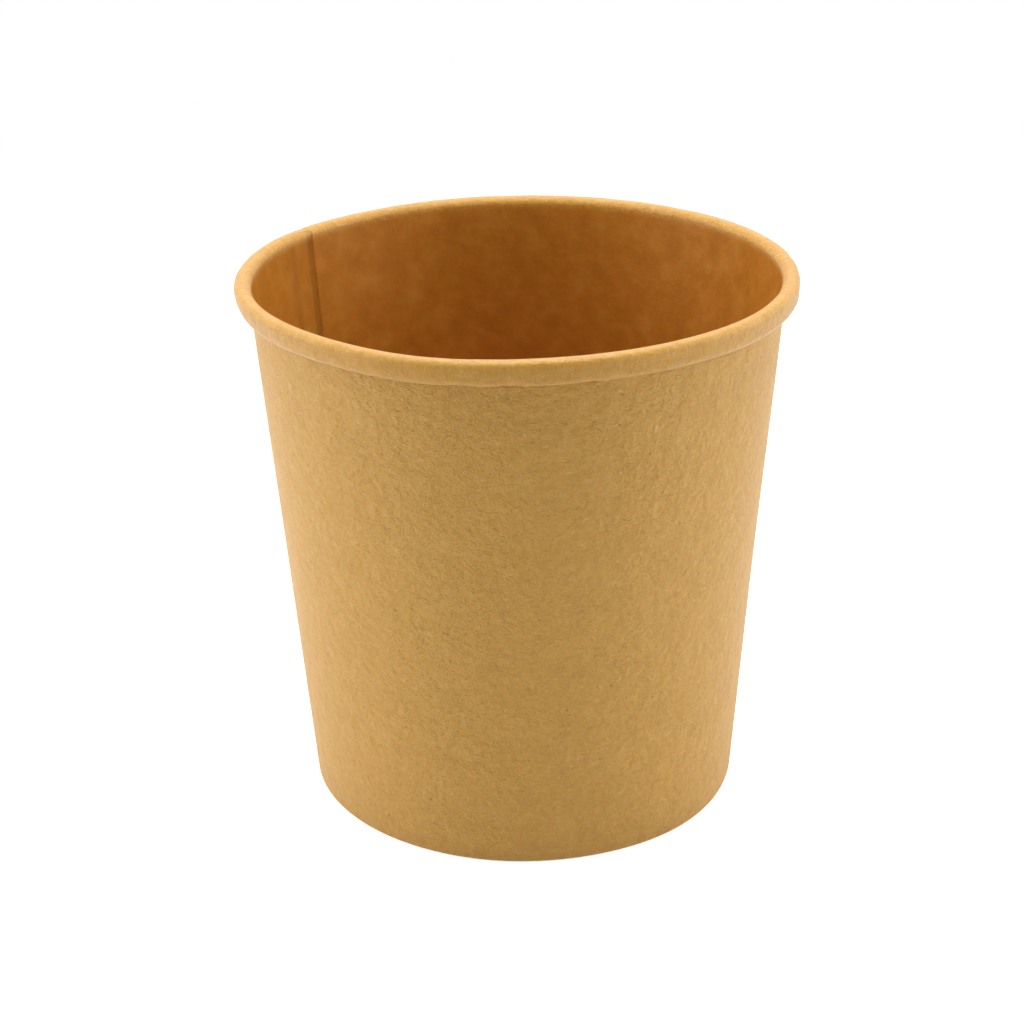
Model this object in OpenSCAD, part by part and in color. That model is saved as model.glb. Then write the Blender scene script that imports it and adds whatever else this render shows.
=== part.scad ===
// Soup cup of kraft board with a rolled rim.
// The sidewall is one blank, wrapped to a cone and glued at a side lap.
// Its top edge is curled outward into a hollow roll, and its lower edge is
// tucked up inside, where it grips the down-turned skirt of the bottom disc.
// Millimetres, Z up, origin at the middle of the foot, on the floor.

/* [Cup] */
// Outside diameter across the rolled rim
rim_d = 98; // [92:0.5:110]
// Height from the foot to the top of the rim
cup_h = 96; // [60:0.5:130]
// Outside diameter at the foot
foot_d = 78.4; // [66:0.2:84]
// Height of the cup's inner floor above the foot
floor_h = 8.5; // [7.5:0.1:16]

/* [Board] */
// Thickness of the sidewall board
board_t = 0.45; // [0.3:0.01:0.5]
// Thickness of the bottom stock
bottom_t = 0.35; // [0.25:0.01:0.45]

/* [Rolled rim] */
// Outside radius of the top of the roll
roll_r = 1.5; // [1.35:0.05:1.8]
// Outside radius of the roll's flank
flank_r = 9; // [6:0.5:14]
// Turn of the flank, in degrees
flank_turn = 11; // [6:1:14]
// Outside radius of the roll's belly
belly_r = 1.6; // [1.4:0.05:1.9]
// Turn of the belly, in degrees
belly_turn = 60; // [40:1:70]
// Gap between the returning sheet and the wall
roll_gap = 0.08; // [0.06:0.01:0.15]
// Radius of the curled end, to the middle of the sheet
curl_r = 0.62; // [0.5:0.01:0.7]
// Turn of the curled end, in degrees
curl_turn = 110; // [60:5:120]

/* [Side seam] */
// Direction of the inner flap's cut edge, in degrees from the X axis
seam_at = 145.5; // [0:0.5:350]
// Width of the glued lap at the middle of the wall
lap_w = 5.6; // [4:0.1:9]
// Width of the ramp where the outer flap comes down beside the lap
ramp_w = 1.4; // [1:0.1:3]
// Width of the strip pressed down along the inner flap's cut edge
press_w = 1.8; // [1:0.1:2.2]
// Depth of the pressed strip at the cut edge
press_depth = 0.22; // [0.1:0.01:0.25]

/* [Foot] */
// Outside radius of the folds at the foot
fold_r = 0.5; // [0.48:0.01:0.6]
// Height of the tucked edge above the foot
tuck_h = 6.8; // [5:0.1:7]
// Outside radius of the bend between the floor and its skirt
skirt_bend_r = 0.9; // [0.6:0.1:1.4]
// Space left under the skirt's cut edge
skirt_rest = 0.3; // [0.2:0.05:0.8]
// Film of sealing coat between the skirt and the sidewall
seal_film = 0.02; // [0.01:0.01:0.05]

/* [Hidden] */
$fn = 72;
bend_step = 18;
slack = 0.2;
bar_lap = 0.02;
board_colour = "#c8a468";
bottom_colour = "#b98d4c";

// Centres of the roll's top and of the outer fold at the foot.
roll_mid = [rim_d / 2 - roll_r, cup_h - roll_r];
fold_mid = [foot_d / 2 - fold_r, fold_r];

// The wall's middle line is the straight line that touches both bends.
roll_c = roll_r - board_t / 2;
fold_c = fold_r - board_t / 2;
span = roll_mid - fold_mid;
taper = acos((roll_c + fold_c) / norm(span)) - atan2(span[1], span[0]);
out = [cos(taper), -sin(taper)];
up = [sin(taper), cos(taper)];
wall_top = roll_mid - roll_c * out;
wall_foot = fold_mid + fold_c * out;
wall_len = norm(wall_top - wall_foot);

// Lap as an angle about the cup's axis.
lap_turn = lap_w / ((wall_top[0] + wall_foot[0]) / 2) * 180 / PI;

// The line of a sheet's middle is a list of [radius, turn] bends, with right
// turns positive, and [0, length] straight runs. A state is [x, y, heading].
function right(h) = [sin(h), -cos(h)];
function bent(s, r, turn) =
    let (side = sign(turn) * r, mid = [s[0], s[1]] + side * right(s[2]))
        concat(mid - side * right(s[2] - turn), [s[2] - turn]);
function run(s, length) = [s[0] + length * cos(s[2]), s[1] + length * sin(s[2]), s[2]];
function after(s, p) = p[0] == 0 ? run(s, p[1]) : bent(s, p[0], p[1]);
function walk(s, line, i) = i == 0 ? s : after(walk(s, line, i - 1), line[i - 1]);
function pieces(p) = p[0] == 0 ? 1 : ceil(abs(p[1]) * sqrt(p[0]) / bend_step);
function along(start, line) = concat([start], [
    for (i = [0:len(line) - 1])
        let (s = walk(start, line, i), p = line[i], n = pieces(p))
            for (k = [1:n]) p[0] == 0 ? run(s, p[1]) : bent(s, p[0], p[1] * k / n)
]);
function beside(states, d) = [for (s = states) [s[0], s[1]] + d * right(s[2])];
function backward(list) = [for (i = [len(list) - 1:-1:0]) list[i]];

// The rim, from the top of the wall round to the belly.
rim_start = [wall_top[0], wall_top[1], 90 - taper];
rim_line = [
    [roll_c, 90 - taper],
    [roll_c, 90],
    [flank_r - board_t / 2, flank_turn],
    [belly_r - board_t / 2, belly_turn]
];
rim_end = walk(rim_start, rim_line, len(rim_line));

// The bend that brings the sheet back beside the wall, then the curled end.
close_line = wall_top * out + board_t + roll_gap;
close_c = ([rim_end[0], rim_end[1]] * out - close_line) / (1 - right(rim_end[2]) * out);
end_line = [[close_c, rim_end[2] + 270 + taper], [curl_r, curl_turn]];
rim_low = rim_end[1] + close_c * right(rim_end[2])[1] - close_c - board_t / 2;

// The foot, worked out from the wall inward: a fold, a flat and a fold,
// which leave a pocket for the bottom's skirt.
pocket = bottom_t + 2 * seal_film;
flat = (board_t + pocket - 2 * fold_c) / cos(taper);
tuck_foot = walk(
    [wall_foot[0], wall_foot[1], -90 - taper],
    [[fold_c, 90 - taper], [0, flat], [fold_c, 90 + taper]], 3
);
tuck_len = (tuck_h - tuck_foot[1]) / cos(taper);

// The whole blank in section, from the tuck's cut edge to the curled end.
blank_start = run(tuck_foot, tuck_len) - [0, 0, 180];
blank_line = concat(
    [[0, tuck_len], [fold_c, -90 - taper], [0, flat], [fold_c, taper - 90], [0, wall_len]],
    rim_line
);

// The bottom's skirt lies in the pocket between the wall and the tuck.
skirt_c = skirt_bend_r - bottom_t / 2;
floor_mid = floor_h - bottom_t / 2;
skirt_line = wall_foot * out - (board_t + bottom_t) / 2 - seal_film;
floor_r = (skirt_line - skirt_c + (floor_mid - skirt_c) * sin(taper)) / cos(taper);
skirt_top = bent([floor_r, floor_mid, 0], skirt_c, 90 + taper);
skirt_len = (skirt_top[1] - board_t - skirt_rest) / cos(taper);
bottom_line = [[0, floor_r], [skirt_c, 90 + taper], [0, skirt_len]];

// A sheet in section, between two distances to the right of its line.
module sheet(start, line, low, high) {
    states = along(start, line);
    polygon(concat(beside(states, low), backward(beside(states, high))));
}

// The blank in section, one layer thick, all the way round.
module blank_section()
    sheet(blank_start, concat(blank_line, end_line), -board_t / 2, board_t / 2);

// The outer flap's layer in section at the lap. It lies outside the wall,
// inside the roll and on the tuck's inner side, reaches into the first layer
// that it is glued to, and is pressed flat on the floor at the fold.
module lap_section()
    intersection() {
        sheet(blank_start, blank_line, 0, board_t * 1.5);
        square([rim_d / 2, cup_h]);
    }

// A bar along the inner flap's cut edge, from one point of the section to
// the next and a hair past both. Its X is to the right of that line, its Y along the cup's turn.
module seam_bar(p, q)
    rotate([0, 0, seam_at])
        translate([p[0], 0, p[1]])
            rotate([0, atan2(q[0] - p[0], q[1] - p[1]), 0])
                translate([0, 0, -bar_lap]) linear_extrude(norm(q - p) + 2 * bar_lap) children();

// Ramp of the outer flap as it comes down on the wall beside the lap. It
// runs from above the fold to under the mouth of the roll.
module ramp() {
    foot = wall_foot + board_t / 2 * out;
    rise = (rim_low - board_t - foot[1]) / cos(taper);
    seam_bar(foot + board_t * up, foot + rise * up)
        polygon([
            [-board_t / 2, 0], [board_t, 0], [0, -ramp_w], [-board_t / 2, -ramp_w]
        ]);
}

// Strip of the inner flap that the seal presses down beside its cut edge, up
// the wall and over the roll. Each bar runs out on the curved face at press_w.
module pressed_edge() {
    line = [[0, wall_len], rim_line[0], rim_line[1]];
    start = [wall_foot[0], wall_foot[1], 90 - taper];
    face = beside(along(start, line), -board_t / 2);
    for (i = [0:len(face) - 2]) {
        p = face[i];
        q = face[i + 1];
        sag = p[0] - sqrt(p[0] * p[0] - press_w * press_w);
        fall = press_depth + sag * (q[1] - p[1]) / norm(q - p);
        seam_bar(p, q)
            polygon([
                [press_depth, 0], [-slack, 0],
                [-slack, press_w * (press_depth + slack) / fall]
            ]);
    }
}

module sidewall()
    color(board_colour)
        difference() {
            union() {
                rotate_extrude() blank_section();
                rotate_extrude(start = seam_at, angle = lap_turn) lap_section();
                ramp();
            }
            pressed_edge();
        }

module bottom()
    color(bottom_colour)
        rotate_extrude()
            sheet([0, floor_mid, 0], bottom_line, -bottom_t / 2, bottom_t / 2);

sidewall();
bottom();
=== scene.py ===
from collections import namedtuple
from functools import reduce
from math import acos, atan2, cos, exp, hypot, pi, radians, sin

import bmesh
import bpy
from mathutils import Euler, Matrix, Vector, noise


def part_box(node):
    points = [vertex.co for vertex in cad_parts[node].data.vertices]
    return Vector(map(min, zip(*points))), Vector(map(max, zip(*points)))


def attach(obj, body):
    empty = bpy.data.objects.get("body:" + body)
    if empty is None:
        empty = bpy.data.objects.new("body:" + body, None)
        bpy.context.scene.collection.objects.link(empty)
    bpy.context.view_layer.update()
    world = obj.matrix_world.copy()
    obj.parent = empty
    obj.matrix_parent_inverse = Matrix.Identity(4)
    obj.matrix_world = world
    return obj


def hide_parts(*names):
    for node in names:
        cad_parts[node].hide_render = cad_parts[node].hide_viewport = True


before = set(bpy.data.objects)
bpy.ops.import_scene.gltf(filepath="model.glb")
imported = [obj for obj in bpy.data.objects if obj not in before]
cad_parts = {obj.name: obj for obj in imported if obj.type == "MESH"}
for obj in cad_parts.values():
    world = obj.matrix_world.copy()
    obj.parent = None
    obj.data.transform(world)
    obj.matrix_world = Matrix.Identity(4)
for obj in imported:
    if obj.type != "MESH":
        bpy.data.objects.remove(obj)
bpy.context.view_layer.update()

MM = 0.001
UP = Vector((0, 0, 1))

# Sizes of the cup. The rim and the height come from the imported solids.
WALL_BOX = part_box("sidewall")
RIM_R = WALL_BOX[1][0]
CUP_H = WALL_BOX[1][2]
FOOT_R = 39.2 * MM
FLOOR_H = 8.5 * MM
BOARD = 0.45 * MM
BOTTOM_BOARD = 0.35 * MM

# Rolled rim.
ROLL_R = 1.5 * MM
FLANK_R = 9 * MM
FLANK_TURN = radians(11)
BELLY_R = 1.6 * MM
BELLY_TURN = radians(60)
ROLL_GAP = 0.08 * MM
CURL_R = 0.62 * MM
CURL_TURN = radians(110)

# Side seam, with how far its inner cut edge is worn, and over what width its outer one falls.
SEAM_AT = radians(145.5)
LAP_WIDTH = 5.6 * MM
RAMP_WIDTH = 1.4 * MM
PRESS_WIDTH = 1.8 * MM
PRESS_DEPTH = 0.22 * MM
ROLL_PRESS_DEPTH = 0.15 * MM
CUT_WIDTH = 0.03 * MM
WORN_EDGE = 0.45 * MM

# Foot.
FOLD_R = 0.5 * MM
TUCK_H = 6.8 * MM
SKIRT_BEND_R = 0.9 * MM
SKIRT_REST = 0.3 * MM
SEAL_FILM = 0.02 * MM

# How finely the section and the turn are divided.
BEND_STEP = radians(11)
WALL_PIECES = 30
TUCK_PIECES = 8
FLOOR_PIECES = 20
SKIRT_PIECES = 6
TURN_STEP = radians(1)
SEAM_STEP = radians(0.18)
SEAM_MARGIN = radians(1.2)
WORN_STEPS = 4
BOTTOM_STEPS = 240
PATCHES = 16

# Points closer than the first are one, edges shorter than the second go, and turns
# past the third stay sharp.
SAME_POINT = 0.001 * MM
NO_LENGTH = 0.0001 * MM
SHARP_FROM = radians(40)


# The line of a sheet's middle in section. A state is a point, a heading and
# the distance along the sheet.

def right_of(heading):
    return Vector((sin(heading), -cos(heading)))


def ahead(heading):
    return Vector((cos(heading), sin(heading)))


def bent(state, radius, turn):
    """The state after a bend to the right, or to the left if the turn is negative."""
    point, heading, travelled = state
    side = radius if turn > 0 else -radius
    middle = point + side * right_of(heading)
    return middle - side * right_of(heading - turn), heading - turn, travelled + radius * abs(turn)


def run(state, length):
    point, heading, travelled = state
    return point + length * ahead(heading), heading, travelled + length


def follow(state, line):
    """States along a line of (radius, turn) bends and (0, length, pieces) straight runs."""
    states = [state]
    for radius, amount, *pieces in line:
        start = states[-1]
        if radius:
            count = max(2, round(abs(amount) / BEND_STEP * max(1, (radius / ROLL_R) ** 0.5)))
            states += [bent(start, radius, amount * i / count) for i in range(1, count + 1)]
        else:
            count = pieces[0]
            states += [run(start, amount * i / count) for i in range(1, count + 1)]
    return states


# The wall is the straight line that touches the roll and the fold.
ROLL_MID = Vector((RIM_R - ROLL_R, CUP_H - ROLL_R))
FOLD_MID = Vector((FOOT_R - FOLD_R, FOLD_R))
ROLL_C = ROLL_R - BOARD / 2
FOLD_C = FOLD_R - BOARD / 2
SPAN = ROLL_MID - FOLD_MID
TAPER = acos((ROLL_C + FOLD_C) / SPAN.length) - atan2(SPAN.y, SPAN.x)
OUT = Vector((cos(TAPER), -sin(TAPER)))
WALL_TOP = ROLL_MID - ROLL_C * OUT
WALL_FOOT = FOLD_MID + FOLD_C * OUT
WALL_LEN = (WALL_TOP - WALL_FOOT).length
LAP_TURN = LAP_WIDTH / ((WALL_TOP.x + WALL_FOOT.x) / 2)


def wall_states():
    """The blank's states, from the tuck's cut edge to the curled end, and the distance to the wall's top."""
    pocket = BOTTOM_BOARD + 2 * SEAL_FILM
    flat = (BOARD + pocket - 2 * FOLD_C) / cos(TAPER)
    foot = [(FOLD_C, pi / 2 - TAPER), (0, flat, 1), (FOLD_C, pi / 2 + TAPER)]
    tuck_foot = follow((WALL_FOOT, -pi / 2 - TAPER, 0), foot)[-1]
    tuck_len = (TUCK_H - tuck_foot[0].y) / cos(TAPER)
    tuck_edge = run(tuck_foot, tuck_len)
    start = (tuck_edge[0], tuck_edge[1] - pi, 0)
    line = [
        (0, tuck_len, TUCK_PIECES),
        (FOLD_C, -pi / 2 - TAPER),
        (0, flat, 1),
        (FOLD_C, TAPER - pi / 2),
        (0, WALL_LEN, WALL_PIECES),
    ]
    rim = [
        (ROLL_C, pi / 2 - TAPER),
        (ROLL_C, pi / 2),
        (FLANK_R - BOARD / 2, FLANK_TURN),
        (BELLY_R - BOARD / 2, BELLY_TURN),
    ]
    states = follow(start, line)
    wall_top_at = states[-1][2]
    states += follow(states[-1], rim)[1:]
    point, heading, _ = states[-1]
    inward = 1 - right_of(heading).dot(OUT)
    close_c = (point.dot(OUT) - WALL_TOP.dot(OUT) - BOARD - ROLL_GAP) / inward
    end_heading = heading - 2 * pi * round(heading / (2 * pi))
    close_turn = (end_heading + 1.5 * pi + TAPER) % (2 * pi)
    states += follow(states[-1], [(close_c, close_turn), (CURL_R, CURL_TURN)])[1:]
    return states, wall_top_at


def bottom_states():
    """The bottom's states, from the middle of the floor to the skirt's cut edge."""
    bend_c = SKIRT_BEND_R - BOTTOM_BOARD / 2
    floor_mid = FLOOR_H - BOTTOM_BOARD / 2
    skirt_line = WALL_FOOT.dot(OUT) - (BOARD + BOTTOM_BOARD) / 2 - SEAL_FILM
    floor_r = (skirt_line - bend_c + (floor_mid - bend_c) * sin(TAPER)) / cos(TAPER)
    start = (Vector((0, floor_mid)), 0, 0)
    states = follow(start, [(0, floor_r, FLOOR_PIECES), (bend_c, pi / 2 + TAPER)])
    skirt_len = (states[-1][0].y - BOARD - SKIRT_REST) / cos(TAPER)
    return states + follow(states[-1], [(0, skirt_len, SKIRT_PIECES)])[1:]


# Building a turned sheet.

def sheet_outline(bm, states, thickness, azimuth):
    """The section of a sheet as a closed loop of edges, standing at that azimuth."""
    along = bm.verts.layers.float.new("along")
    side = bm.verts.layers.float.new("side")
    turn = Matrix.Rotation(azimuth, 3, "Z")
    loop = []
    for way, row in ((-1, states), (1, states[::-1])):
        for point, heading, travelled in row:
            place = point + way * thickness / 2 * right_of(heading)
            vert = bm.verts.new(turn @ Vector((max(place.x, 0), 0, place.y)))
            vert[along] = travelled
            vert[side] = way
            loop.append(vert)
    edges = [bm.edges.new((a, b)) for a, b in zip(loop, loop[1:] + loop[:1])]
    return loop + edges


def spin(bm, geometry, angle, steps, copy=False):
    """Turns the outline about the cup's axis, or repeats a patch round it."""
    turned = bmesh.ops.spin(
        bm, geom=geometry, cent=(0, 0, 0), axis=UP, angle=angle, steps=steps,
        use_merge=False, use_normal_flip=False, use_duplicate=copy,
    )
    return turned["geom_last"]


def spin_open(bm, geometry, angle, steps, patches):
    """Turns the outline through one patch, and repeats the patch round the rest of the angle."""
    count = len(bm.faces)
    spin(bm, geometry, angle / patches, round(steps / patches))
    patch = list(bm.faces)[count:]
    edges = dict.fromkeys(edge for face in patch for edge in face.edges)
    verts = dict.fromkeys(vert for face in patch for vert in face.verts)
    spin(bm, list(verts) + list(edges) + patch, angle - angle / patches, patches - 1, copy=True)


def close_up(bm):
    """Joins the first and last rows and points every face outwards."""
    bmesh.ops.remove_doubles(bm, verts=bm.verts, dist=SAME_POINT)
    bmesh.ops.dissolve_degenerate(bm, edges=bm.edges, dist=NO_LENGTH)
    bmesh.ops.recalc_face_normals(bm, faces=bm.faces)


def finished(name, bm, materials):
    mesh = bpy.data.meshes.new(name)
    bm.to_mesh(mesh)
    bm.free()
    for material in materials:
        mesh.materials.append(material)
    mesh.shade_smooth()
    mesh.set_sharp_from_angle(angle=SHARP_FROM)
    piece = bpy.data.objects.new(name, mesh)
    bpy.context.collection.objects.link(piece)
    return piece


# What the hand-made cup does to the true section.

def angle_from(azimuth, middle):
    """The angle from middle to azimuth, from -pi to pi."""
    return (azimuth - middle + pi) % (2 * pi) - pi


def smooth(low, high, value):
    t = min(max((value - low) / (high - low), 0), 1)
    return t * t * (3 - 2 * t)


def ripple(azimuth, waves, seed):
    """Smooth noise round the cup, from about -1 to 1."""
    return noise.noise(Vector((cos(azimuth) * waves, sin(azimuth) * waves, seed)))


def swell(azimuth, bumps):
    """Sum of smooth bumps round the cup, each of an azimuth, a half width and a height."""
    return sum(
        height * exp(-((angle_from(azimuth, middle) / width) ** 2))
        for middle, width, height in bumps
    )


# Rises and dips of the rim.
RIM_WAVES = [
    (radians(-107), radians(15), -0.28 * MM),
    (radians(-143), radians(16), 0.16 * MM),
    (radians(-60), radians(20), 0.08 * MM),
    (radians(158), radians(10), 0.10 * MM),
    (radians(125), radians(14), -0.10 * MM),
    (radians(35), radians(30), 0.08 * MM),
]
RIM_DROP = 0.17 * MM
RIM_REACH = 22 * MM

# Fine unevenness of the rim and the roll: its size, how many waves go round, and
# which noise it is.
RIM_RIPPLE = (0.040 * MM, 3.0, 4.0)
ROLL_RIPPLES = [
    (0.030 * MM, 9.0, 1.0),
    (0.018 * MM, 34.0, 2.0),
]

# How much fuller than round the roll's outer shoulder is, and the roll's small
# kinks with how far they press in. They begin a little way past the wall's top.
SHOULDER = 0.12
KINK_START = (0.8 * MM, 3.0 * MM)
ROLL_KINKS = [
    (radians(6.5), radians(1.6), 0.14 * MM),
    (radians(2.0), radians(1.3), 0.10 * MM),
    (radians(-2.8), radians(1.8), 0.08 * MM),
    (radians(-92), radians(2.2), 0.10 * MM),
    (radians(-101), radians(3.0), 0.08 * MM),
    (radians(-76), radians(2.5), 0.08 * MM),
    (radians(-128), radians(2.4), 0.06 * MM),
    (radians(48), radians(2.6), 0.08 * MM),
    (radians(92), radians(3.2), 0.07 * MM),
]

# Past the wall's top, the pressed strip fades out over this stretch of the roll.
PRESS_FADE = (4.2 * MM, 2.4 * MM)

# Where the lower part of the roll is drawn in, and which way it goes.
BELLY_TUCKS = [
    (radians(180), radians(32), 0.42 * MM),
    (radians(-120), radians(25), 0.08 * MM),
]
BELLY_REACH = 2.6 * MM
BELLY_PULL = Vector((-1.0, 0.5))

# Where the wall flares out under the rim, and where the foot is out of round.
WALL_FLARES = [
    (radians(0), radians(45), 0.30 * MM),
    (radians(180), radians(60), 0.12 * MM),
]
FLARE_LOW = 42 * MM
FLARE_HIGH = 86 * MM
FLARE_END = CUP_H - 5 * MM
FOOT_BULGES = [
    (radians(-48), radians(26), 0.80 * MM),
    (radians(-92), radians(22), 0.30 * MM),
    (radians(-150), radians(30), -0.12 * MM),
]
BULGE_REACH = 40 * MM

# Points whose azimuths agree to this many digits stand in one row.
ROW_DIGITS = 5


def rim_lift(azimuth):
    size, waves, seed = RIM_RIPPLE
    return swell(azimuth, RIM_WAVES) - RIM_DROP + size * ripple(azimuth, waves, seed)


def roll_press(azimuth):
    uneven = sum(size * (1 + ripple(azimuth, waves, seed)) for size, waves, seed in ROLL_RIPPLES)
    return swell(azimuth, ROLL_KINKS) + uneven


def out_of_round(azimuth, height):
    """How far the wall stands outside the true cone at that azimuth and height."""
    flare = smooth(FLARE_LOW, FLARE_HIGH, height) * (1 - smooth(FLARE_END, CUP_H - ROLL_R, height))
    bulge = 1 - smooth(0, BULGE_REACH, height)
    return swell(azimuth, WALL_FLARES) * flare + swell(azimuth, FOOT_BULGES) * bulge


def lap_height(azimuth):
    """Height of the outer flap's layer over the wall: a cut edge at one end, a ramp at the other."""
    past = angle_from(azimuth, SEAM_AT)
    if past < 0:
        return BOARD * smooth(-RAMP_WIDTH / FOOT_R, 0, past)
    return BOARD if past <= LAP_TURN else 0


def press_fall(azimuth, radius, depth):
    """Depth of the strip that is pressed down beside the inner flap's cut edge."""
    past = angle_from(azimuth, SEAM_AT) * radius
    if past < 0:
        return depth * smooth(-WORN_EDGE, 0, past)
    return depth * max(0, 1 - past / PRESS_WIDTH)


def lay_seam(place, azimuth, travelled, way, past_top):
    """A point of the section, moved by the lap on the outer face or the pressed strip on the inner."""
    if way > 0 and past_top < 0:
        outward = 1 if travelled > TUCK_H + FOLD_R else -1
        return place + lap_height(azimuth) * outward * OUT
    if way > 0 or travelled <= TUCK_H:
        return place
    if past_top < 0:
        return place + press_fall(azimuth, place.x, PRESS_DEPTH) * OUT
    inward = (ROLL_MID - place).normalized()
    fall = press_fall(azimuth, place.x, ROLL_PRESS_DEPTH) * smooth(*PRESS_FADE, past_top)
    return place + fall * inward


def shape_roll(place, past_top, press, tuck):
    """A point of the roll, moved by its fuller shoulder, its kinks and the tuck under it."""
    arm = place - ROLL_MID
    fuller = SHOULDER * (2 * max(arm.x, 0) * max(arm.y, 0) / arm.length_squared) ** 2
    place = ROLL_MID + arm * (1 + fuller - press / ROLL_R * smooth(*KINK_START, past_top))
    low = smooth(0, BELLY_REACH, ROLL_MID.y - place.y) * smooth(WALL_TOP.x, ROLL_MID.x, place.x)
    return place + tuck * low * BELLY_PULL


def work_in(bm, wall_top_at):
    """Moves the wall's points by the lap, the pressed strip and the unevenness of a made cup."""
    along = bm.verts.layers.float["along"]
    side = bm.verts.layers.float["side"]
    rows = {}
    for vert in bm.verts:
        radius = hypot(vert.co.x, vert.co.y)
        azimuth = atan2(vert.co.y, vert.co.x)
        radial = Vector((vert.co.x, vert.co.y, 0)) / radius
        row = round(azimuth, ROW_DIGITS)
        if row not in rows:
            rows[row] = (roll_press(azimuth), swell(azimuth, BELLY_TUCKS), rim_lift(azimuth))
        press, tuck, lift = rows[row]
        past_top = vert[along] - wall_top_at
        place = lay_seam(Vector((radius, vert.co.z)), azimuth, vert[along], vert[side], past_top)
        if past_top > 0:
            place = shape_roll(place, past_top, press, tuck)
        weight = smooth(CUP_H - RIM_REACH, CUP_H - 2 * ROLL_R, place.y)
        place.x += out_of_round(azimuth, place.y)
        place.y = min(place.y + lift * weight, CUP_H)
        vert.co = radial * place.x + UP * max(place.y, 0)


def work_in_bottom(bm):
    """The bottom follows the foot where that is out of round."""
    for vert in bm.verts:
        radius = hypot(vert.co.x, vert.co.y)
        if radius:
            azimuth = atan2(vert.co.y, vert.co.x)
            growth = out_of_round(azimuth, vert.co.z) / FOOT_R
            vert.co.x *= 1 + growth
            vert.co.y *= 1 + growth


# The flat blank that a sheet is cut from gives its texture a place. The bottom's lies
# beside the wall's, this far off in metres.
BOTTOM_BLANK_AT = 0.2


def lay_flat(bm, wall_top_at):
    """A UV map in metres, as the wall lay in the flat blank."""
    along = bm.verts.layers.float["along"]
    flat = bm.loops.layers.uv.new("blank")
    apex = WALL_TOP.x / sin(TAPER)
    for face in bm.faces:
        middle = face.calc_center_median()
        face_at = atan2(middle.y, middle.x)
        for loop in face.loops:
            co = loop.vert.co
            turn = angle_from(face_at, SEAM_AT + pi) + angle_from(atan2(co.y, co.x), face_at)
            reach = apex + loop.vert[along] - wall_top_at
            spread = turn * sin(TAPER)
            loop[flat].uv = (reach * sin(spread), reach * cos(spread) - apex)


def lay_flat_bottom(bm):
    """A UV map in metres of the bottom, seen from above, with its skirt laid along."""
    flat = bm.loops.layers.uv.new("blank")
    for face in bm.faces:
        for loop in face.loops:
            loop[flat].uv = (loop.vert.co.x + BOTTOM_BLANK_AT, loop.vert.co.y + loop.vert.co.z)


# Shader maths.

class Field:
    """A number that varies over a surface, written as plain maths."""

    def __init__(self, tree, socket):
        self.tree = tree
        self.socket = socket

    def _math(self, operation, *values):
        node = self.tree.nodes.new("ShaderNodeMath")
        node.operation = operation
        for slot, value in zip(node.inputs, values):
            if isinstance(value, Field):
                self.tree.links.new(value.socket, slot)
            else:
                slot.default_value = value
        return Field(self.tree, node.outputs[0])

    def __add__(self, other):
        return self._math("ADD", self, other)

    def __radd__(self, other):
        return self._math("ADD", other, self)

    def __sub__(self, other):
        return self._math("SUBTRACT", self, other)

    def __rsub__(self, other):
        return self._math("SUBTRACT", other, self)

    def __mul__(self, other):
        return self._math("MULTIPLY", self, other)

    def __rmul__(self, other):
        return self._math("MULTIPLY", other, self)

    def __truediv__(self, other):
        return self._math("DIVIDE", self, other)

    def __rtruediv__(self, other):
        return self._math("DIVIDE", other, self)

    def __abs__(self):
        return self._math("ABSOLUTE", self)

    def most(self, other):
        return self._math("MAXIMUM", self, other)

    def least(self, other):
        return self._math("MINIMUM", self, other)

    def turn_to(self, other):
        return self._math("ARCTAN2", self, other)

    def root(self):
        return self._math("SQRT", self)


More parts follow.
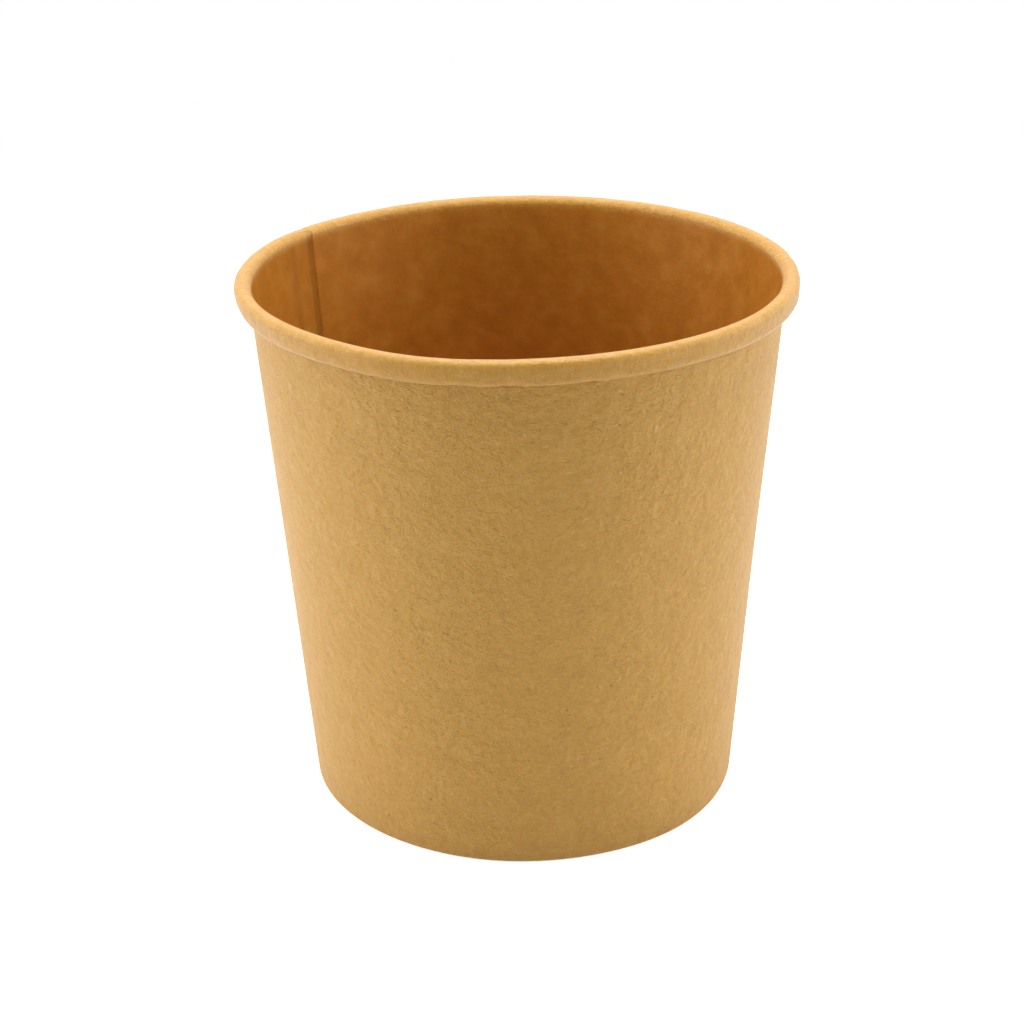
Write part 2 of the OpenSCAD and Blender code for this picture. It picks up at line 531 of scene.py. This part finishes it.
class Finish:
    """The nodes of a material or of the world, and the few ways they are made."""

    def __init__(self, owner):
        self.owner = owner
        owner.use_nodes = True
        self.tree = owner.node_tree
        self.tree.nodes.clear()

    def node(self, kind, settings=None, **sockets):
        """A node of that kind, its settings set first, then its sockets by name or as in_0, in_1."""
        made = self.tree.nodes.new(kind)
        for name, value in (settings or {}).items():
            setattr(made, name, value)
        for name, value in sockets.items():
            slot = int(name.removeprefix("in_")) if name.startswith("in_") else name.replace("_", " ")
            self.plug(made.inputs[slot], value)
        return made

    def plug(self, slot, value):
        if isinstance(value, Field):
            self.tree.links.new(value.socket, slot)
        elif isinstance(value, bpy.types.NodeSocket):
            self.tree.links.new(value, slot)
        else:
            slot.default_value = value

    def number(self, socket):
        return Field(self.tree, socket)

    def place(self):
        """Where a point of the surface is, in metres."""
        return self.node("ShaderNodeTexCoord").outputs["Object"]

    def parts(self, vector):
        """The three numbers of a vector."""
        split = self.node("ShaderNodeSeparateXYZ", Vector=vector)
        return [self.number(socket) for socket in split.outputs]

    def cylinder(self):
        """Azimuth, radius and height of a point of the surface."""
        x, y, z = self.parts(self.place())
        return y.turn_to(x), (x * x + y * y).root(), z

    def flat(self):
        """Where a point of the surface lay in the flat blank, in metres."""
        return self.node("ShaderNodeUVMap", {"uv_map": "blank"}).outputs[0]

    def placed(self, vector, turn, stretch, shift=(0, 0, 0)):
        """That vector moved, turned about Z and stretched."""
        return self.node(
            "ShaderNodeMapping", Vector=vector, Location=shift, Rotation=(0, 0, turn), Scale=stretch
        ).outputs[0]

    def noise(self, vector, scale, detail=2.0, rough=0.5):
        made = self.node(
            "ShaderNodeTexNoise", {"noise_dimensions": "3D"},
            Vector=vector, Scale=scale, Detail=detail, Roughness=rough,
        )
        return self.number(made.outputs[0])

    def ease(self, value, low, high):
        """0 below low, 1 above high, smooth between; low may be the larger."""
        made = self.node(
            "ShaderNodeMapRange", {"interpolation_type": "SMOOTHSTEP", "clamp": True},
            Value=value, From_Min=low, From_Max=high,
        )
        return self.number(made.outputs[0])

    def blend(self, amount, one, other, way="MIX"):
        """A colour between two, or one laid on the other."""
        made = self.node("ShaderNodeMix", {"data_type": "RGBA", "blend_type": way, "clamp_factor": True})
        self.plug(made.inputs[0], amount)
        self.plug(made.inputs[6], one)
        self.plug(made.inputs[7], other)
        return made.outputs[2]

    def show(self, shader, output="ShaderNodeOutputMaterial"):
        self.node(output, in_0=shader)
        return self.owner


# Colours of the board, in linear light: two hues of the ground, its pale and its deep fibres.
BARE = {
    "warm": (0.552, 0.277, 0.032, 1),
    "dull": (0.536, 0.297, 0.049, 1),
    "pale": (0.740, 0.460, 0.170, 1),
    "deep": (0.300, 0.130, 0.018, 1),
}
ROLLED = {
    "warm": (0.528, 0.250, 0.020, 1),
    "dull": (0.512, 0.268, 0.031, 1),
    "pale": (0.740, 0.460, 0.170, 1),
    "deep": (0.300, 0.130, 0.018, 1),
}
COATED = {
    "warm": (0.458, 0.166, 0.015, 1),
    "dull": (0.436, 0.178, 0.022, 1),
    "pale": (0.620, 0.300, 0.062, 1),
    "deep": (0.270, 0.086, 0.008, 1),
}
SPECK = (0.130, 0.075, 0.022, 1)
# Colour of the seam's marks: partly its darker glue, partly painted shade in the pressed hollow and over the
# hidden edge.
SEAM_GLUE_AND_SHADE = (0.080, 0.046, 0.006, 1)

# How strong the grain and the blotches of each face are, how rough, glossy and fuzzy
# it is, and how deep its relief.
Look = namedtuple("Look", "grain blotch rough gloss fuzz relief")
BARE_LOOK = Look(0.24, 0.40, 0.50, 0.42, 0.06, 0.330 * MM)
ROLLED_LOOK = Look(0.42, 0.40, 0.46, 0.40, 0.26, 0.150 * MM)
SEALED_LOOK = Look(0.13, 1.60, 0.36, 0.22, 0.00, 0.040 * MM)
BOTTOM_LOOK = Look(0.22, 0.70, 0.45, 0.20, 0.00, 0.030 * MM)
FUZZ_ROUGH = 0.45

# The board's patterns: name, size, detail, roughness, and where in the noise they lie.
PATTERNS = [
    ("grain", 0.31 * MM, 2.0, 0.60, (0, 0, 0)),
    ("mottle", 1.30 * MM, 2.0, 0.60, (0.5, 0, 0)),
    ("hue", 0.80 * MM, 2.0, 0.50, (0.3, 0.1, 0)),
    ("cloud", 6.00 * MM, 2.0, 0.60, (0, 0, 0)),
    ("blot", 3.20 * MM, 1.0, 0.50, (0.7, 0.2, 0)),
]

# Single fibres: the ways they lie in degrees, their length and width, and how far
# apart in the noise each way is taken.
FIBRE_TURNS = (8, 41, 77, 108, 139, 168)
FIBRE_LONG = 1.1 * MM
FIBRE_WIDE = 0.15 * MM
FIBRE_SHIFT = 0.01

# Where in a field, from 0 to 1, one colour gives way to the next.
HUE_SPAN = (0.38, 0.62)
PALE_SPAN = (0.50, 0.72)
DEEP_SPAN = (0.50, 0.28)
LIGHT_FIBRES = (0.68, 0.80)
DARK_FIBRES = (0.32, 0.20)
LIGHT_SHARE = 0.55
DARK_SHARE = 0.60
CLOUD_SHARE = 0.60
CLOUD_MIDDLE = 0.50

# How much each field raises the surface.
RELIEF = {"grain": 0.6, "mottle": 1.2, "blot": 1.2, "cloud": 1.6, "light": 0.3, "dark": -0.3}

# The darkened strip beside the seam's inner cut edge, where it starts and ends: partly the seam's own darker
# glue, partly painted shade in the pressed hollow beside the step; and the faint line of painted shade where
# the wall rides over the outer cut edge behind it.
STRIP_START = (-0.6 * MM, 0.3 * MM)
STRIP_END = (2.0 * MM, 2.0 * MM / 3)
STRIP_DARK = 0.40
STRIP_ON_ROLL = 0.15
# The lap line is painted shade of the low ridge over the outer cut edge: its widths, then its strength.
LAP_LINE = (1.6 * MM, 0.2 * MM)
LAP_SHADE = 0.14

# Where the seal is worn off toward the roll, by height and by radius.
WORN_HEIGHTS = (CUP_H - 2.6 * MM, CUP_H - 0.9 * MM)
WORN_RADII = (ROLL_MID.x - 0.8 * MM, ROLL_MID.x - 0.1 * MM)

# Fine upright creases in the roll: their size, which show, where they set in, and how
# dark and deep they are; the darkening is partly brown flecks, partly painted shade in their hollows.
CREASE_SIZE = (0.42 * MM, 0.42 * MM, 3.5 * MM)
CREASE_SPAN = (0.56, 0.76)
CREASED_RADII = (ROLL_MID.x, RIM_R - 0.4 * MM)
CREASE_FLECK_AND_SHADE = 0.20
CREASE_PIT = 0.20

# Spots: where their edge starts and ends in half widths, how strong their colour is,
# and how far they stand out or sink in.
SPOT_EDGE = (1.4, 0.4)
SPECK_STRENGTH = 0.55
SPECK_PIT = 0.2
FLAKE_STRENGTH = 0.60
FLAKE_RISE = 0.5

# Spots in the bare board: azimuth, height, half width, half height.
DARK_SPECKS = [
    (radians(-69.2), 34.4 * MM, 0.26 * MM, 0.28 * MM),
    (radians(-79.8), 30.9 * MM, 0.24 * MM, 0.24 * MM),
    (radians(-106.7), 45.5 * MM, 0.22 * MM, 0.22 * MM),
    (radians(-113.9), 11.3 * MM, 0.30 * MM, 0.26 * MM),
    (radians(-62.5), 76.8 * MM, 0.20 * MM, 0.30 * MM),
    (radians(-69.6), 82.9 * MM, 0.22 * MM, 0.18 * MM),
    (radians(-93.5), 77.7 * MM, 0.20 * MM, 0.20 * MM),
    (radians(12.0), 52.0 * MM, 0.24 * MM, 0.24 * MM),
    (radians(76.0), 63.0 * MM, 0.22 * MM, 0.26 * MM),
    (radians(118.0), 27.0 * MM, 0.26 * MM, 0.22 * MM),
    (radians(-165.0), 58.0 * MM, 0.22 * MM, 0.24 * MM),
]
PALE_FLAKES = [
    (radians(-61.3), 81.3 * MM, 0.42 * MM, 0.55 * MM),
    (radians(-75.6), 79.0 * MM, 0.22 * MM, 0.18 * MM),
    (radians(40.0), 70.0 * MM, 0.35 * MM, 0.45 * MM),
    (radians(155.0), 36.0 * MM, 0.30 * MM, 0.40 * MM),
]


def fibre_field(finish, flat, turn):
    """Long thin noise in one direction of the sheet: its high and low ends are single fibres."""
    shift = (FIBRE_SHIFT * turn, FIBRE_SHIFT * 2, 0)
    laid = finish.placed(flat, radians(turn), (1 / FIBRE_LONG, 1 / FIBRE_WIDE, 1), shift)
    return finish.noise(laid, 1.0, 1.0)


def kraft_fields(finish):
    """The fields of kraft board: its patterns, its pale fibres and its dark ones."""
    flat = finish.flat()
    fields = {}
    for name, size, detail, rough, shift in PATTERNS:
        laid = finish.placed(flat, 0, (1, 1, 1), shift)
        fields[name] = finish.noise(laid, 1 / size, detail, rough)
    fibres = [fibre_field(finish, flat, turn) for turn in FIBRE_TURNS]
    fields["light"] = finish.ease(reduce(Field.most, fibres), *LIGHT_FIBRES)
    fields["dark"] = finish.ease(reduce(Field.least, fibres), *DARK_FIBRES)
    return fields


def paint(finish, fields, board_colours, look):
    """Colour of kraft board, from its fields."""
    warm, dull, pale, deep = board_colours.values()
    tone = (fields["grain"] + fields["mottle"]) / 2
    clouds = fields["cloud"] * CLOUD_SHARE + fields["blot"] * (1 - CLOUD_SHARE) - CLOUD_MIDDLE
    clouds = clouds * look.blotch
    colour = finish.blend(finish.ease(fields["hue"], *HUE_SPAN), warm, dull)
    colour = finish.blend(finish.ease(tone, *PALE_SPAN) * look.grain, colour, pale)
    colour = finish.blend(finish.ease(tone, *DEEP_SPAN) * look.grain, colour, deep)
    colour = finish.blend(clouds.most(0), colour, pale)
    colour = finish.blend((0 - clouds).most(0), colour, deep)
    colour = finish.blend(fields["light"] * LIGHT_SHARE * look.grain, colour, pale)
    return finish.blend(fields["dark"] * DARK_SHARE * look.grain, colour, deep)


def relief(finish, fields, look, raised=0.0):
    """Bump of the board's fibres, with anything else that is raised."""
    height = raised + sum(fields[name] * share for name, share in RELIEF.items())
    return finish.node("ShaderNodeBump", Strength=1.0, Distance=look.relief, Height=height).outputs[0]


def spots(finish, table):
    """1 in the middle of each spot of the table, 0 away from it."""
    azimuth, radius, z = finish.cylinder()
    found = []
    for spot_azimuth, height, half_width, half_height in table:
        across = (azimuth - spot_azimuth) * radius / half_width
        up = (z - height) / half_height
        found.append(finish.ease((across * across + up * up).root(), *SPOT_EDGE))
    return reduce(Field.most, found)


def board_shader(finish, colour, look, normal):
    shader = finish.node(
        "ShaderNodeBsdfPrincipled", Base_Color=colour, Roughness=look.rough, Specular_IOR_Level=look.gloss,
        Sheen_Weight=look.fuzz, Sheen_Roughness=FUZZ_ROUGH, Normal=normal,
    )
    return shader.outputs[0]


def bare_board():
    """Outer face of the wall: bare kraft with a few specks and flakes."""
    finish = Finish(bpy.data.materials.new("bare kraft"))
    fields = kraft_fields(finish)
    specks = spots(finish, DARK_SPECKS)
    flakes = spots(finish, PALE_FLAKES)
    colour = paint(finish, fields, BARE, BARE_LOOK)
    colour = finish.blend(specks * SPECK_STRENGTH, colour, SPECK)
    colour = finish.blend(flakes * FLAKE_STRENGTH, colour, BARE["pale"])
    normal = relief(finish, fields, BARE_LOOK, flakes * FLAKE_RISE - specks * SPECK_PIT)
    return finish.show(board_shader(finish, colour, BARE_LOOK, normal))


def seam_fields(finish, azimuth, radius):
    """The dark strip beside the inner cut edge, partly its glue and partly painted shade in the pressed
    hollow, and the faint line of painted shade over the edge behind the wall.
    """
    past = (azimuth - SEAM_AT) * radius
    strip = finish.ease(past, *STRIP_START) * finish.ease(past, *STRIP_END)
    # Painted shade of the low ridge where the wall rides over the outer cut edge behind it.
    behind = abs((azimuth - SEAM_AT - LAP_TURN) * radius)
    return strip, finish.ease(behind, *LAP_LINE)


def crease_field(finish, radius):
    """Fine upright creases over the outer half of the roll."""
    drawn = finish.placed(finish.place(), 0, [1 / size for size in CREASE_SIZE])
    creases = finish.ease(finish.noise(drawn, 1.0, 1.0), *CREASE_SPAN)
    return creases * finish.ease(radius, *CREASED_RADII)


def worn_field(finish, radius, height):
    """1 over the roll, where the seal is worn off, and 0 below it."""
    return finish.ease(height, *WORN_HEIGHTS).most(finish.ease(radius, *WORN_RADII))


def lined_board():
    """Inner face of the wall: sealed and deeper in colour, but worn pale over the roll."""
    finish = Finish(bpy.data.materials.new("lined kraft"))
    fields = kraft_fields(finish)
    azimuth, radius, height = finish.cylinder()
    strip, lap_shade = seam_fields(finish, azimuth, radius)
    creases = crease_field(finish, radius)
    inside = paint(finish, fields, COATED, SEALED_LOOK)
    # Painted shade in the pressed hollow by the seam, partly also its darker glue, and painted shade along
    # the hidden lap edge.
    inside = finish.blend(strip * STRIP_DARK + lap_shade * LAP_SHADE, inside, SEAM_GLUE_AND_SHADE)
    rolled = paint(finish, fields, ROLLED, ROLLED_LOOK)
    # Darker in the creases: partly brown flecks, partly painted shade in their hollows.
    rolled = finish.blend(creases * CREASE_FLECK_AND_SHADE, rolled, ROLLED["deep"])
    # The strip on the roll: fainter painted shade in the seam's groove, with its glue.
    rolled = finish.blend(strip * STRIP_ON_ROLL, rolled, SEAM_GLUE_AND_SHADE)
    creased = relief(finish, fields, ROLLED_LOOK, creases * -CREASE_PIT)
    sealed = board_shader(finish, inside, SEALED_LOOK, relief(finish, fields, SEALED_LOOK))
    bare = board_shader(finish, rolled, ROLLED_LOOK, creased)
    worn = worn_field(finish, radius, height)
    return finish.show(finish.node("ShaderNodeMixShader", in_0=worn, in_1=sealed, in_2=bare).outputs[0])


def bottom_board():
    """The bottom: kraft, sealed on top."""
    finish = Finish(bpy.data.materials.new("bottom kraft"))
    fields = kraft_fields(finish)
    colour = paint(finish, fields, COATED, BOTTOM_LOOK)
    return finish.show(board_shader(finish, colour, BOTTOM_LOOK, relief(finish, fields, BOTTOM_LOOK)))


# Pieces.

def seam_sectors(start):
    """Turns and steps from start, over the worn edge and the lap, to just past its outer cut edge."""
    cut = CUT_WIDTH / WALL_TOP.x
    worn_edge = WORN_EDGE / WALL_TOP.x
    before = SEAM_AT - worn_edge - start
    return [
        (before, round(before / SEAM_STEP)),
        (worn_edge, WORN_STEPS),
        (LAP_TURN, round(LAP_TURN / SEAM_STEP)),
        (cut, 1),
        (SEAM_MARGIN - cut, round(SEAM_MARGIN / SEAM_STEP)),
    ]


def choose_faces(bm):
    """The second material goes on the wall's inner face, and the first on the rest."""
    side = bm.verts.layers.float["side"]
    for face in bm.faces:
        face.material_index = int(sum(vert[side] for vert in face.verts) < 0)


def make_sidewall():
    states, wall_top_at = wall_states()
    bm = bmesh.new()
    start = SEAM_AT - RAMP_WIDTH / FOOT_R - SEAM_MARGIN
    outline = sheet_outline(bm, states, BOARD, start)
    sectors = seam_sectors(start)
    for angle, steps in sectors:
        outline = spin(bm, outline, angle, steps)
    open_turn = 2 * pi - sum(angle for angle, _ in sectors)
    spin_open(bm, outline, open_turn, round(open_turn / TURN_STEP), PATCHES)
    close_up(bm)
    work_in(bm, wall_top_at)
    lay_flat(bm, wall_top_at)
    choose_faces(bm)
    piece = finished("sidewall", bm, [bare_board(), lined_board()])
    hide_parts("sidewall")
    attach(piece, "root")


def make_bottom():
    bm = bmesh.new()
    outline = sheet_outline(bm, bottom_states(), BOTTOM_BOARD, 0)
    spin_open(bm, outline, 2 * pi, BOTTOM_STEPS, PATCHES)
    close_up(bm)
    work_in_bottom(bm)
    lay_flat_bottom(bm)
    piece = finished("bottom", bm, [bottom_board()])
    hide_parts("bottom")
    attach(piece, "root")


# Floor, light and camera.

WHITE = (1, 1, 1, 1)
FLOOR_COLOUR = (0.92, 0.92, 0.92, 1)
FLOOR_GLOW = 0.60
FLOOR_HALF = 3
FLOOR_BELOW = 0.02 * MM

# Past this radius the floor fades into the white backdrop, which it is by three times it.
STUDIO_R = 0.18

# Strength of the light from all round, and the point at which the lamps look.
FILL = 0.04
AIM = Vector((0, 0, 0.05))

# Soft boxes: name, place, width, height, watts.
SOFTBOXES = [
    ("left softbox", (-0.75, 0.00, 0.35), 0.60, 0.60, 5.0),
    ("right softbox", (0.75, 0.00, 0.35), 0.60, 0.60, 4.5),
    ("low left strip", (-0.56, -0.32, 0.06), 0.30, 0.08, 0.40),
    ("low right strip", (0.56, -0.32, 0.06), 0.30, 0.08, 0.36),
    ("top softbox", (0.00, 0.00, 0.45), 0.34, 0.34, 1.8),
    ("back softbox", (0.00, 0.55, 0.75), 0.70, 0.50, 2.7),
]


def seen_plainly(finish):
    """1 where the camera looks, or a mirror or clear body shows what is behind it."""
    path = finish.node("ShaderNodeLightPath")
    seen = finish.number(path.outputs["Is Camera Ray"])
    seen = seen.most(finish.number(path.outputs["Is Glossy Ray"]))
    return seen.most(finish.number(path.outputs["Is Transmission Ray"]))


def make_floor():
    """A pale floor that takes the cup's shadow, and is white to the camera far away."""
    bm = bmesh.new()
    bmesh.ops.create_grid(bm, x_segments=1, y_segments=1, size=FLOOR_HALF)
    bmesh.ops.translate(bm, verts=bm.verts, vec=(0, 0, -FLOOR_BELOW))
    finish = Finish(bpy.data.materials.new("floor"))
    plain = finish.node("ShaderNodeBsdfDiffuse", Color=FLOOR_COLOUR).outputs[0]
    glow = finish.node("ShaderNodeEmission", Color=WHITE, Strength=FLOOR_GLOW).outputs[0]
    both = finish.node("ShaderNodeAddShader", in_0=plain, in_1=glow).outputs[0]
    white = finish.node("ShaderNodeEmission", Color=WHITE, Strength=1.0).outputs[0]
    _, radius, _ = finish.cylinder()
    away = finish.ease(radius, STUDIO_R, 3 * STUDIO_R)
    backdrop = finish.node("ShaderNodeMixShader", in_0=away, in_1=both, in_2=white).outputs[0]
    seen = seen_plainly(finish)
    pick = finish.node("ShaderNodeMixShader", in_0=seen, in_1=plain, in_2=backdrop).outputs[0]
    floor = finished("floor", bm, [finish.show(pick)])


def make_lamp(name, place, width, height, watts):
    lamp = bpy.data.lights.new(name, "AREA")
    lamp.shape = "RECTANGLE"
    lamp.size = width
    lamp.size_y = height
    lamp.energy = watts
    holder = bpy.data.objects.new(name, lamp)
    bpy.context.collection.objects.link(holder)
    holder.location = place
    holder.rotation_euler = (AIM - Vector(place)).to_track_quat("-Z", "Y").to_euler()


def make_light():
    world = bpy.data.worlds.new("studio")
    bpy.context.scene.world = world
    finish = Finish(world)
    fill = finish.node("ShaderNodeBackground", Color=WHITE, Strength=FILL).outputs[0]
    white = finish.node("ShaderNodeBackground", Color=WHITE, Strength=1.0).outputs[0]
    seen = seen_plainly(finish)
    pick = finish.node("ShaderNodeMixShader", in_0=seen, in_1=fill, in_2=white).outputs[0]
    finish.show(pick, "ShaderNodeOutputWorld")
    for softbox in SOFTBOXES:
        make_lamp(*softbox)


# The camera. Its lens and sensor are in millimetres.
CAMERA_BACK = 358.6 * MM
CAMERA_UP = 205.7 * MM
CAMERA_DOWN = radians(23.526)
CAMERA_TURN = radians(0.239)
CAMERA_ROLL = radians(0.95)
LENS = 75.37
SENSOR = 36
NEAR = 0.01
FAR = 20


def make_camera():
    camera = bpy.data.cameras.new("camera")
    camera.lens = LENS
    camera.sensor_width = SENSOR
    camera.clip_start = NEAR
    camera.clip_end = FAR
    holder = bpy.data.objects.new("camera", camera)
    bpy.context.collection.objects.link(holder)
    aim = Euler((pi / 2 - CAMERA_DOWN, 0, CAMERA_TURN)).to_matrix() @ Matrix.Rotation(-CAMERA_ROLL, 3, "Z")
    holder.location = (0, -CAMERA_BACK, CAMERA_UP)
    holder.rotation_euler = aim.to_euler()
    bpy.context.scene.camera = holder


make_sidewall()
make_bottom()
make_floor()
make_light()
make_camera()
bpy.context.scene.view_settings.view_transform = "Standard"
